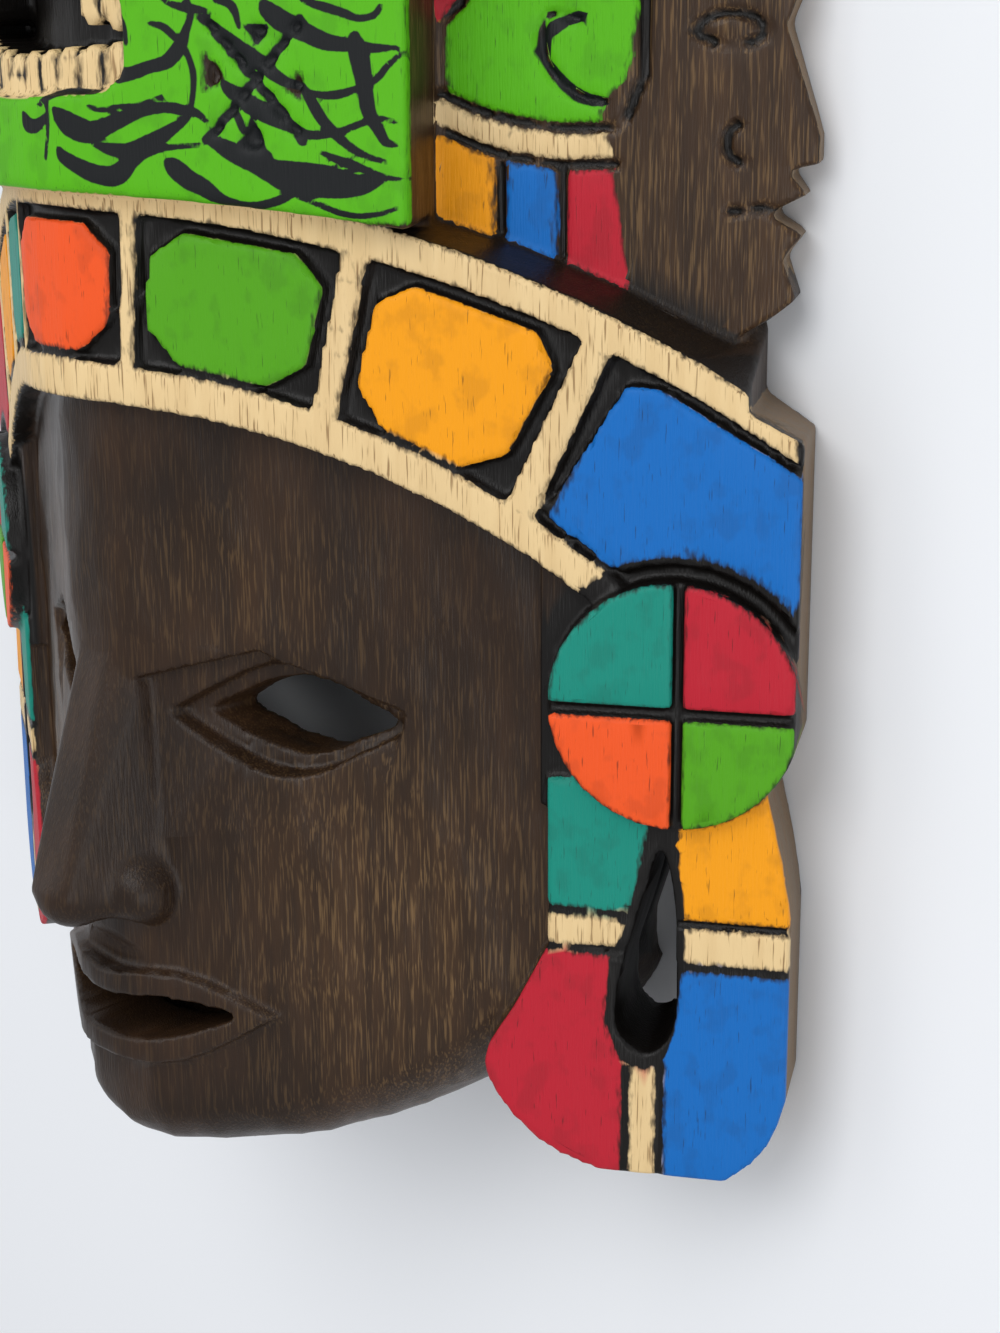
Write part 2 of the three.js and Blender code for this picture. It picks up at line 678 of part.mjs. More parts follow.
// A cross of two cuts with a three-cornered nick in each of its angles
function marks() {
  const at = (x, y) => [mark.x + x * mark.across, mark.height + y * mark.up];
  const arms = [1, -1].map((side) => strokeOutline([at(-side, -1), at(side, 1)], mark.groove));
  const nicks = [
    [[1, -0.3], [1, 0.12], [0.64, -0.1]],
    [[-0.18, 0.91], [0.38, 0.91], [0.1, 0.56]],
    [[-1, 0.45], [-1, -0.17], [-0.64, 0.03]],
    [[0.22, -1.16], [-0.42, -1.16], [-0.06, -0.6]],
  ].map((nick) => nick.map(([x, y]) => at(x, y)));
  return pair(joined([...arms, ...nicks].map((outline) => cutTo(outline, mark.depth - animalLift))));
}

function animalHead() {
  const gape = cutTo(gapeOutline(), gapeDepth - animalLift);
  return joined([animalBlock(), ears(), animalEyes(), snout()])
    .subtract(gape)
    .add(teeth())
    .subtract(marks());
}

// The hollow behind, a V that follows the panels inside a rim
function hollow() {
  const half = halfWidth - rimWidth;
  const shoulder = cavityTop - cavityShoulder;
  const foot = jawHalfWidth - rimWidth / 3;
  const outline = [
    ...ellipsePoints(0, jawCentre, foot, jawCentre - cavityFoot, Math.PI, 2 * Math.PI, 20),
    [half, jawCentre + rimWidth],
    [half, shoulder],
    ...ellipsePoints(0, shoulder, half, cavityShoulder, 0, Math.PI, 20).slice(1, -1),
    [-half, shoulder],
    [-half, jawCentre + rimWidth],
  ];
  return frontPrism(outline).intersect(under(-wallDepth, cavityProwRadius + wallDepth));
}

// Everything past the log's sawn sides, square to the panels
function sawnSides() {
  const far = boardEdge + 3 * past;
  const beyond = [[boardEdge, -past], [far, -past], [far, maskLength + past], [boardEdge, maskLength + past]];
  return pair(panelPrism(beyond));
}

// The sloped corner of the headband's board above the spool
function upperCorner() {
  const top = archHeight(highStrip.end, highStrip) + highStrip.width;
  const inner = boardEdge - cornerDrop;
  return pair(panelPrism([
    [inner, top + cornerDrop / 3],
    [boardEdge + past, top - cornerDrop * 1.7],
    [boardEdge + past, top + past],
    [inner, top + past],
  ]));
}

// The bevel from the board's edge in to the pendant, below the spool
function lowerCorner() {
  const low = pendantTop - spoolRadius / 3;
  const inner = 0.204 * (pendantTop - pendantFoot);
  return pair(panelPrism([
    [boardEdge + 1, spoolHeight - spoolRadius / 6],
    [inner, pendantTop - 1],
    [inner, low],
    [boardEdge + past, low],
    [boardEdge + past, spoolHeight - spoolRadius / 6],
  ]));
}

function carve() {
  const eyes = pair(frontPrism(almond(0)));
  const lids = pair(cutTo(almond(lidMargin), faceDepth + socketDepth + lidDepth));
  const features = faceBlock().subtract(pair(socket())).add(lips()).add(nose()).subtract(lids);
  const band = joined([headbandGround(), strips(), dividerBars(), stones(), pair(earStone())])
    .subtract(upperCorner()).subtract(lowerCorner());
  const spools = pair(spoolDisc(spoolRadius, -spoolRadius, spoolLift).subtract(spoolCross()));
  const far = maskLength + past;
  const below = frontPrism([[-far, -far], [far, -far], [far, far], [-far, far]], -maskLength, 0);
  return joined([features, pair(pendant()), band, spools])
    .subtract(loops())
    .add(pair(boards()))
    .add(animalHead())
    .subtract(eyes)
    .subtract(frontPrism(mouthOutline(0)))
    .subtract(hollow())
    .subtract(sawnSides())
    .subtract(below);
}

const carving = carve().getMesh();
const geometry = new THREE.BufferGeometry();
geometry.setAttribute('position', new THREE.BufferAttribute(new Float32Array(carving.vertProperties), 3));
geometry.setIndex(new THREE.BufferAttribute(new Uint32Array(carving.triVerts), 1));
geometry.translate(0, chinDrop - maskLength / 2, 0);
geometry.computeVertexNormals();

const stainedWood = new THREE.MeshStandardMaterial({ color: 0x3a2a1e, roughness: 0.6, metalness: 0 });
const mask = new THREE.Mesh(geometry, stainedWood);
mask.name = 'carved_mask';

const part = new THREE.Group();
part.add(mask);

export default part;
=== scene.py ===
import math

import bpy
import numpy as np
from mathutils import Matrix, Vector


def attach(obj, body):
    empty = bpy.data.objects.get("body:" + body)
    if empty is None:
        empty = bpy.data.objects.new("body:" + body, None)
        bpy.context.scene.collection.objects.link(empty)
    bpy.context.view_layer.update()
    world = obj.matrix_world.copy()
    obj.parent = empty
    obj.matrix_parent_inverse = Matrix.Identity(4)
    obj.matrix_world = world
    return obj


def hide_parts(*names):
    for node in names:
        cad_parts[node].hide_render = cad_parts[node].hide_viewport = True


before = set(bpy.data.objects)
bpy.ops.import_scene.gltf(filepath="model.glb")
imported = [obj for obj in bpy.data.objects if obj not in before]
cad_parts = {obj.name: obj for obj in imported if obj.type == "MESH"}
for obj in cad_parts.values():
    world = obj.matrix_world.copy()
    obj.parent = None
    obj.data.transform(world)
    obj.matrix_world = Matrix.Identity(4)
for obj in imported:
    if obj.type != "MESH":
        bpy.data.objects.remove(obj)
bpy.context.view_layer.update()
bpy.ops.object.select_all(action="DESELECT")

# The viewpoint: someone who looks down on the lying mask from beside its ear.
# It stands where the photograph was taken, in metres from the middle of the rim's plane.
camera_place = Vector((0.3918, 0.0895, 0.3671))
camera_turn = math.radians(44.48)
camera_rise = math.radians(16.22)
camera_roll = math.radians(-0.26)
lens = 67.5
sensor = 36.0

back = Vector((
    math.sin(camera_turn) * math.cos(camera_rise),
    math.sin(camera_rise),
    math.cos(camera_turn) * math.cos(camera_rise),
))
right = Vector((math.cos(camera_turn), 0.0, -math.sin(camera_turn)))
up = back.cross(right)
rolled_right = right * math.cos(camera_roll) + up * math.sin(camera_roll)
rolled_up = up * math.cos(camera_roll) - right * math.sin(camera_roll)

bpy.ops.object.camera_add(location=camera_place)
camera = bpy.context.object
camera.name = "camera"
camera.data.lens = lens
camera.data.sensor_width = sensor
camera.matrix_world = Matrix((
    (rolled_right.x, rolled_up.x, back.x, camera_place.x),
    (rolled_right.y, rolled_up.y, back.y, camera_place.y),
    (rolled_right.z, rolled_up.z, back.z, camera_place.z),
    (0.0, 0.0, 0.0, 1.0),
))
bpy.context.scene.camera = camera

# The mask: one block of pale, close-grained hardwood, carved in one with gouges and knives.
# Its form is the solid's, and remeshing softens every edge a little, as sanding and handling do.
voxel = 0.0008

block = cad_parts["carved_mask"]
mask = bpy.data.objects.new("painted_mask", block.data.copy())
bpy.context.scene.collection.objects.link(mask)
mask.data.materials.clear()
mask.select_set(True)
bpy.context.view_layer.objects.active = mask
bpy.ops.object.mode_set(mode="EDIT")
bpy.ops.mesh.select_all(action="SELECT")
bpy.ops.mesh.remove_doubles(threshold=0.00001)
bpy.ops.object.mode_set(mode="OBJECT")


def finish_with(kind, **settings):
    """Adds a modifier with its settings to the active piece and applies it."""
    modifier = bpy.context.object.modifiers.new(kind.lower(), kind)
    for name, value in settings.items():
        setattr(modifier, name, value)
    bpy.ops.object.modifier_apply(modifier=modifier.name)


finish_with("REMESH", mode="VOXEL", voxel_size=voxel, adaptivity=0.0)
finish_with("SMOOTH", factor=0.5, iterations=2)

# Places on the mask, in millimetres: across, height above the base line, and out of the face.
# Along is measured on a panel from the ear spool, and lift square to the panel's face.
per_metre = 1000.0
base_line = 147.0
panel_angle = math.radians(31.5)
spool_x = 106.0
spool_height = 99.0
spool_rise = 29.0
prow_radius = 28.0
prow_centre = spool_rise + spool_x * math.tan(panel_angle) - prow_radius / math.cos(panel_angle)

# How far each carved face stands out, as lift, and the lines between them: an arch is the height of
# its crown and its radius, and the animal's side wall lies at one place along the panel
headband_level = 0.0
spool_level = 2.2
pendant_level = -0.8
animal_level = 7.0
board_level = -13.0
hollow_level = -17.0
low_arch = (153.3, 140)
high_arch = (189.1, 200)
animal_arch = (190.6, 400)
animal_wall = -49.0


def rows(kind):
    """Reads the mask's points or its normals, three numbers to a row."""
    values = np.empty(len(mask.data.vertices) * 3)
    mask.data.vertices.foreach_get(kind, values)
    return values.reshape(-1, 3)


def places():
    """Reads the mask's points as x, height, z, along and lift."""
    x, y, z = rows("co").T * per_metre
    out = np.abs(x) - spool_x
    along = out * math.cos(panel_angle) - (z - spool_rise) * math.sin(panel_angle)
    lift = out * math.sin(panel_angle) + (z - spool_rise) * math.cos(panel_angle)
    rounded = np.abs(x) < (z - prow_centre) * math.tan(panel_angle)
    lift = np.where(rounded, np.hypot(x, z - prow_centre) - prow_radius, lift)
    return x, y + base_line, z, along, lift


def arch(crown, radius):
    """Height of an arched edge of the headband at each point."""
    return crown - radius + np.sqrt(np.maximum(radius ** 2 - x ** 2, 0))


def choose(wanted):
    """Selects only the wanted points, and goes to edit mode."""
    bpy.ops.object.mode_set(mode="EDIT")
    bpy.context.tool_settings.mesh_select_mode = (True, False, False)
    bpy.ops.mesh.select_all(action="DESELECT")
    bpy.ops.object.mode_set(mode="OBJECT")
    mask.data.vertices.foreach_set("select", wanted)
    bpy.ops.object.mode_set(mode="EDIT")


# Hand work: the nose and its wings, the jaw, the animal's lower edge and its crossed cuts are rounded
# over with a knife and paper. Each number is how often the points there are smoothed.
nose_smoothing = 10
wing_smoothing = 16
jaw_smoothing = 25
edge_smoothing = 14
mark_smoothing = 4

x, height, z, along, lift = places()
side = np.abs(x)
on_nose = (lift > -5.4) & (height > 42) & (height < 118) & (side < 22)
on_jaw = (height < 13) & (z > 4) & (side < 71)
on_wing = (lift > -5.7) & (np.abs(height - 52) < 9) & (side > 7) & (side < 21)
on_edge = (lift > 3.2) & (height < 197) & (height > arch(*animal_arch) - 1) & (along < animal_wall + 2)
on_mark = (lift > 4.2) & (np.abs(side - 44.4) < 10) & (np.abs(height - 212.5) < 13)
for wanted, repeats in (
    (on_nose, nose_smoothing), (on_wing, wing_smoothing), (on_jaw, jaw_smoothing),
    (on_edge, edge_smoothing), (on_mark, mark_smoothing),
):
    choose(wanted)
    bpy.ops.mesh.vertices_smooth(factor=0.5, repeat=repeats)
    bpy.ops.object.mode_set(mode="OBJECT")

# Tool marks: faint knife flats on the dark face, and broad gouge cuts all over the hollow behind.
# Each cut is a shallow bowl, and between cuts the wood is left flat.
knife_depth = 1.2
gouge_depth = 1.6
flat_beyond = 0.7
usual_cut = 0.25


def scallops(u, v, width, length):
    """Squared distance to the middle of the nearest of many scattered cuts, one in each cell."""
    best = np.full(u.shape, flat_beyond)
    for du in (-1, 0, 1):
        for dv in (-1, 0, 1):
            column = np.floor(u / width) + du
            row = np.floor(v / length) + dv
            shift_u = np.sin(column * 12.99 + row * 78.23) * 437.5 % 1
            shift_v = np.sin(column * 39.35 + row * 11.14) * 246.3 % 1
            far = (u / width - column - shift_u) ** 2 + (v / length - row - shift_v) ** 2
            best = np.minimum(best, far)
    return best


x, height, z, along, lift = places()
side = np.abs(x)
under_strip = arch(*low_arch) - 2
on_face = np.clip((-4.2 - lift) / 1.5, 0, 1) * (lift > hollow_level) * (along < -27) * (z > 6)
on_face *= np.clip((under_strip - height) / 4, 0, 1) * ((side > 25) | (height > 105) | (height < 15))
in_hollow = np.clip((hollow_level - 1.5 - lift) / 2, 0, 1) * (side < 92)
in_hollow *= np.clip((height - 14) / 6, 0, 1) * (height < 264)
carving = on_face * knife_depth * (scallops(along, height, 10, 17) - usual_cut)
carving += in_hollow * gouge_depth * (usual_cut - scallops(along, height, 9, 24))
carved = rows("co") + rows("normal") * carving[:, None] / per_metre
mask.data.vertices.foreach_set("co", carved.ravel())
mask.data.update()

# Flat places need few faces. The animal's front keeps all of them, for its thin brush strokes, and
# the other painted faces get some back, for clean edges of paint. First all that is painted is split
# until no edge is longer than some millimetres, and then only the rims where two colours meet.
kept_share = 0.075
split_lengths = (8.0, 4.5, 2.4, 1.4)
rims_only_below = 3.0

choose(~((lift > 5.2) & (height > 187)))
bpy.ops.mesh.decimate(ratio=kept_share)
bpy.ops.mesh.select_all(action="SELECT")
bpy.ops.mesh.quads_convert_to_tris()
bpy.ops.object.mode_set(mode="OBJECT")

for longest in split_lengths:
    x, height, z, along, lift = places()
    rims_only = longest < rims_only_below
    reach = 8 if rims_only else 70
    near_ledge = np.abs(height - arch(*high_arch) - 8) < 4
    fine_wall = (lift > -15) & (height > 186) & (np.abs(along - animal_wall) < 1.6)
    fine_ledge = (lift > -15) & (lift < 0.5) & (along > animal_wall - 1) & near_ledge
    fine_rim = (lift > -reach) & (lift < -0.5) & (along > 8) & (height < 90)
    fine_crown = (lift > -reach / 2) & (lift < 6.8) & (height > 255) & (along < -35)
    wanted = fine_wall | fine_ledge | fine_rim | fine_crown
    if not rims_only:
        painted_board = (lift > board_level - 2.5) & (lift < board_level + 1.5) & (height > 165)
        wanted |= ((lift > -3.5) | painted_board) & (height > 2)
    ends = np.empty(len(mask.data.edges) * 2, int)
    mask.data.edges.foreach_get("vertices", ends)
    ends = ends.reshape(-1, 2)
    points = np.column_stack((x, height, z))
    length = np.linalg.norm(points[ends[:, 0]] - points[ends[:, 1]], axis=1)
    choose(np.zeros(len(x), bool))
    bpy.context.tool_settings.mesh_select_mode = (False, True, False)
    bpy.ops.object.mode_set(mode="OBJECT")
    mask.data.edges.foreach_set("select", (length > longest) & wanted[ends].all(axis=1))
    bpy.ops.object.mode_set(mode="EDIT")
    bpy.ops.mesh.subdivide(number_cuts=1, smoothness=0.0)
    bpy.ops.mesh.select_all(action="SELECT")
    bpy.ops.mesh.quads_convert_to_tris()
    bpy.ops.object.mode_set(mode="OBJECT")

x, height, z, along, lift = places()
side = np.abs(x)
count = len(x)
normals = rows("normal")
facing = np.sign(x) * normals[:, 0] * math.sin(panel_angle) + normals[:, 2] * math.cos(panel_angle)

# Paint is laid by distances in millimetres, which are above zero inside an edge. This one stands for
# a place far inside, and with a minus sign for one far outside.
well_in = 9.0


def only(area, limit=well_in):
    """Keeps a limit within an area, and rules out every place outside it."""
    return np.where(area, limit, -well_in)


def between(low, value, high):
    """How far inside a range each value lies, or outside it if below zero."""
    return np.minimum(value - low, high - value)


def from_line(ax, ay, bx, by, u, v):
    """Distance to the straight line from a to b, and the share of it passed at the nearest place."""
    run = max((bx - ax) ** 2 + (by - ay) ** 2, 1e-6)
    share = np.clip(((u - ax) * (bx - ax) + (v - ay) * (by - ay)) / run, 0, 1)
    return np.hypot(u - ax - share * (bx - ax), v - ay - share * (by - ay)), share


def inside(points, u, v):
    """Signed distance to a closed outline, above zero inside it."""
    ring = np.array(points, float)
    nearest = np.full(u.shape, np.inf)
    odd = np.zeros(u.shape, bool)
    for (ax, ay), (bx, by) in zip(ring, np.roll(ring, -1, axis=0)):
        nearest = np.minimum(nearest, from_line(ax, ay, bx, by, u, v)[0])
        if ay != by:
            crossing = (v < ay) != (v < by)
            odd ^= crossing & (u < (bx - ax) * (v - ay) / (by - ay) + ax)
    return np.where(odd, nearest, -nearest)


def smoothed(points, steps=5):
    """A smooth line through points of any number of values."""
    ring = np.array(points, float)
    ends = np.vstack([2 * ring[0] - ring[1], ring, 2 * ring[-1] - ring[-2]])
    line = []
    for a, b, c, d in zip(ends, ends[1:], ends[2:], ends[3:]):
        for t in np.arange(steps) / steps:
            line.append(b + 0.5 * t * (c - a + t * (2 * a - 5 * b + 4 * c - d + t * (3 * (b - c) + d - a))))
    return np.array(line + [ring[-1]])


def stroke(points, u, v):
    """How far inside a brush stroke each place lies; its points are across, up and the stroke's width."""
    best = np.full(u.shape, -well_in)
    line = smoothed(points)
    for (ax, ay, aw), (bx, by, bw) in zip(line, line[1:]):
        far, share = from_line(ax, ay, bx, by, u, v)
        best = np.maximum(best, (aw + share * (bw - aw)) / 2 - far)
    return best


# Every painted area is a distance inside its edge, and a place takes the colour of the area it is
# deepest in. Cream and raw are bare wood, and the others are coats of paint.
colours = {
    "cream": "E2C592",
    "raw": "6F5F4D",
    "orange": "E9541D",
    "leaf_green": "4F9C0F",
    "bright_green": "53AD08",
    "yellow": "EE9A08",
    "blue": "0766B6",
    "red": "B51B2D",
    "teal": "0E8574",
}
bare_woods = ("cream", "raw")
painted = np.full(count, -well_in)
colour_of = np.zeros(count, int)
brushed = np.full(count, -well_in)
scorched = np.zeros(count)


def lay(colour, *limits):
    """Lays a colour where every limit is above zero."""
    area = np.minimum.reduce(limits)
    deeper = area > painted
    painted[deeper] = area[deeper]
    colour_of[deeper] = list(colours).index(colour)


def ink(area, depth):
    """Brushes black over the places of an area where a depth is above zero."""
    np.maximum(brushed, only(area, depth), out=brushed)


def top(level, reach=0.9, crisp=3.0):
    """Where the surface stands no more than a reach below a level of the carving."""
    return (lift - level + reach) * crisp


# The log's outer walls, raw and grey with handling, under the edges that the paint runs over. They
# count as hardly deep, so any paint that reaches them covers them.
raw_depth = 1.5

is_neck = (height > 156) & (height < 177)
outer_wall = only((facing < 0.45) & (z > 0.4) & ~is_neck, np.minimum(along - 8, -1.5 - lift))
lay("raw", np.minimum(outer_wall, raw_depth))

# The headband: two arched strips of bare cream wood, and between them stones with cut corners.
# Each stone is painted in one colour, and the ground around them is scorched black.
# A divider is where its foot and its head stand from the middle, and its width.
low_width = 7.7
high_width = 6.6
dividers = ((15.8, 17.3, 2.6), (48.6, 54.0, 4.3), (80.0, 92.2, 5.0))
stone_gap = 1.6
board_edge = 21.7
low_strip = arch(*low_arch)
low_top = low_strip + low_width
high_strip = arch(*high_arch)
high_top = high_strip + high_width
spool_r = np.hypot(along + 0.8, height - spool_height - 1.2)
spool_radius = 23.6
spool_ring = 28.2
is_front = top(headband_level)

scorched[(height > low_strip - 1) & (height < high_top + 2) & (lift > -4.5) & (lift < 0.4)] = 1.0
scorched[(spool_r < spool_ring + 1) & (lift < 2.4) & (lift > -3.5) & (along > -30)] = 1.0
lay("cream", between(low_strip, height, low_top), 96 - side, is_front, spool_r - spool_ring + 0.6)
lay("cream", between(high_strip, height, high_top), is_front, board_edge - 1.0 - along)
offsets = []
for foot, head, width in dividers:
    share = (height - low_top) / np.maximum(high_strip - low_top, 1)
    offsets.append((side - foot - (head - foot) * share, width / 2))
    lay("cream", width / 2 - np.abs(offsets[-1][0]), between(low_top - 1, height, high_strip + 1), is_front)

row = between(low_top + stone_gap, height, high_strip - stone_gap)
right_stones = ("orange", "leaf_green", "yellow", "blue")
left_stones = ("orange", "teal", "yellow", "red")
for i in range(4):
    limits = [row, is_front]
    if i > 0:
        limits.append(offsets[i - 1][0] - offsets[i - 1][1] - stone_gap)
    if i < 3:
        limits.append(-offsets[i][0] - offsets[i][1] - stone_gap)
    else:
        limits[0] = np.minimum(high_strip - stone_gap - height, height - spool_height)
        limits.append(np.where(side < 97, height - low_top - stone_gap, well_in))
        limits += [spool_r - spool_ring, board_edge + 0.4 - along]
    lay(right_stones[i], *limits, only(x >= 0))
    lay(left_stones[i], *limits, only(x < 0))

# The ear spools: raised discs parted in four by crossed grooves, each quarter in its own colour
cross_half = 0.8
on_disc = only(along > -30, top(spool_level, 1.1))
upper = height - spool_height
for colour, rises, outer in (("teal", 1, -1), ("red", 1, 1), ("orange", -1, -1), ("leaf_green", -1, 1)):
    lay(colour, spool_radius - spool_r, on_disc, rises * upper - cross_half, outer * along - cross_half)

# The ear pendants: a drop-shaped loop under each spool, banded in cream. The hole is burnt through,
# and the fire has left a black rim that is widest at its foot. Paint runs over the outer edge.
pendant_top = 86
pendant_side = -39

in_reach = (along > pendant_side) & (height < pendant_top)
below_spool = np.minimum(pendant_top - height, spool_r - spool_radius - 0.4)
on_pendant = only(in_reach, np.minimum(below_spool, top(pendant_level, 1.0)))
burnt = inside((
    (-5.8, 88), (0.2, 88), (0.2, 75.6), (1.7, 56), (1.1, 46.7), (0.3, 36), (-2.1, 26.8), (-9.9, 26.8),
    (-12, 31), (-13.6, 36), (-12.6, 48.4), (-9.2, 57.5), (-5.5, 75),
), along, height)
in_foot = height < 27.5
outer_side = np.where(in_foot, along + 1.9, along + 4)
inner_side = np.where(in_foot, -10.2 - along, -4 - along)
outer_rim = np.minimum.reduce([lift + 5.5, spool_r - spool_radius - 1, pendant_top - 2 - height])
outer_rim = only((facing < 0.8) & (along > 8), np.minimum(outer_rim, 1.2))
bands = (
    ("yellow", outer_side, 57.4, pendant_top),
    ("cream", outer_side, 48.8, 55.9),
    ("blue", outer_side, -9, 47.2),
    ("teal", inner_side, 58.5, pendant_top),
    ("cream", inner_side, 50.9, 56.9),
    ("red", inner_side, -9, 49.2),
)
scorched[in_reach & (along < 25) & (lift > -4.6) & (facing > 0.2)] = 1.0
for colour, part, low, high in bands:
    lay(colour, np.maximum(on_pendant, outer_rim), part, between(low, height, high))
lay("cream", on_pendant, 2.6 - np.abs(along + 6.1), 26.6 - height)
is_burnt = (burnt > -0.8) & (along > pendant_side) & (lift < 1) & (height < pendant_top - 2)
painted[is_burnt] = np.minimum(painted, -burnt - 0.1)[is_burnt]
scorched[(burnt > -2.5) & (side > 80) & (height < pendant_top) & (lift < 1)] = 1.0

# The boards behind: a profile head on each side, stained brown, with a painted collar and ear scroll.
# The ledge above the headband is scorched. Burnt lines part the colours.
line_half = 0.9
collar_width = 6.5
hair_band = 261.0
plume_height = 22

on_board = np.minimum(top(board_level), (board_level + 3.5 - lift) * 3)
on_board = only((along > animal_wall - 0.5) & (facing > 0.6), on_board)
collar_low = np.interp(side, (57, 64.9, 70.5, 77.4, 87), (203.8, 200, 198.4, 197.2, 197.6))
cheek_heights = (173, 197, 203, 204.3, 207, 210, 213, 226, 246)
cheek_line = np.interp(height, cheek_heights, (89.5, 86.5, 85.2, 84.3, 84.3, 85.4, 88.6, 89.6, 88))
cheek = cheek_line - side
on_ledge = (along > animal_wall - 1) & (height > high_top - 1) & (height < high_top + 2)
scorched[(along > animal_wall) & (lift < -13.7) & (lift > -15.6) & (height > 168)] = 1.0
scorched[on_ledge & (lift < -1.2) & (lift > -14)] = 0.85
collar_top = collar_low + collar_width
lay("cream", on_board, between(collar_low + line_half, height, collar_top - line_half), cheek)
for colour, inner, outer in (("yellow", 50, 67.0), ("blue", 68.8, 77.0), ("red", 78.6, 95)):
    square = between(high_top, height, collar_low - line_half)
    lay(colour, on_board, square, between(inner, side, outer), cheek - 0.4)
diagonal = np.interp(side, (52, 59, 69, 79, 87, 111), (208, 222, 236, 243, 246, 251))
scroll_area = between(collar_top + line_half, height, diagonal - 1.6)
lay("bright_green", on_board, scroll_area, cheek, side - 59.6)
crown_area = between(diagonal + 1.2, height, hair_band - line_half)
lay("red", on_board, crown_area, 92 - side)
lay("orange", on_board, crown_area, side - 92.4)
plume_foot = 50.0
for colour, foot, head in (("blue", 76, 71), ("yellow", 91, 85), ("leaf_green", 140, 140)):
    quill = foot + (head - foot) * (height - hair_band) / plume_height
    width = between(plume_foot + line_half, side, quill - line_half)
    lay(colour, on_board, width, height - hair_band - line_half)
    plume_foot = quill
hook = (
    (84.9, 208.6, 1.4), (82.0, 208.8, 2.2), (79.2, 210.4, 2.4), (76.8, 213.1, 2.2), (75.0, 215.8, 2.0),
    (74.6, 218.2, 2.6), (76.1, 221.0, 2.2), (78.6, 222.6, 2.0), (81.2, 223.3, 1.8), (82.8, 220.8, 0.8),
)
ink(on_board > -3, stroke(hook, side, height))

# The animal's head: bright green over all its front, with brown side walls. Its teeth are bare wood
# in a scorched mouth, its crossed cuts show black and brown wood, and its eyes are cream.
animal_foot = 188
gape_half = 22.6
gape_low = 203.5
gape_high = 241.5
tooth_foot = 3.0
tooth_tip = 6.4
tooth_count = 11
tooth_pitch = 2 * gape_half / tooth_count
eye_side = 40
eye_height = 262
eye_radius = 7.4
pupil_radius = 3.4

on_animal = np.minimum.reduce([animal_wall + 1.0 - along, top(animal_level, 3.2, 1.5), height - animal_foot])
over_animal = on_animal > -2
in_gape = (side < gape_half + 1.4) & (height > gape_low) & (height < gape_high) & (lift < 6.2)
near_tooth = (x + gape_half) / tooth_pitch
tooth_gap = np.abs(near_tooth - np.round(near_tooth)) * tooth_pitch - 0.3
nick_brown = (((51.9, 209.6), (51.9, 214.3), (48.9, 211.9)), ((36.7, 217.7), (36.7, 210.9), (39.8, 213.2)))
nick_black = (((42.8, 222.5), (47.4, 222.5), (45.1, 218.5)), ((46.2, 200.8), (41.1, 200.8), (43.9, 206.9)))
lay("bright_green", on_animal)
for nick in nick_brown:
    depth = inside(nick, side, height)
    painted = np.where(over_animal & (depth > -1), np.minimum(painted, -depth), painted)
painted[in_gape] = -well_in
scorched[in_gape] = 1.0
lay("cream", only(in_gape, between(tooth_foot, lift, tooth_tip) * 3), tooth_gap)
eye_r = np.hypot(side - eye_side, (height - eye_height) * 1.2)
lay("cream", only(over_animal), eye_radius - eye_r + 2)
ear_inside = ((41, 277.5), (44, 288), (49.5, 292), (53.5, 286), (53.5, 275.5), (47, 273.5))
lay("red", inside(ear_inside, side, height) + 2, only((lift > 6) & (lift < 9.6)))

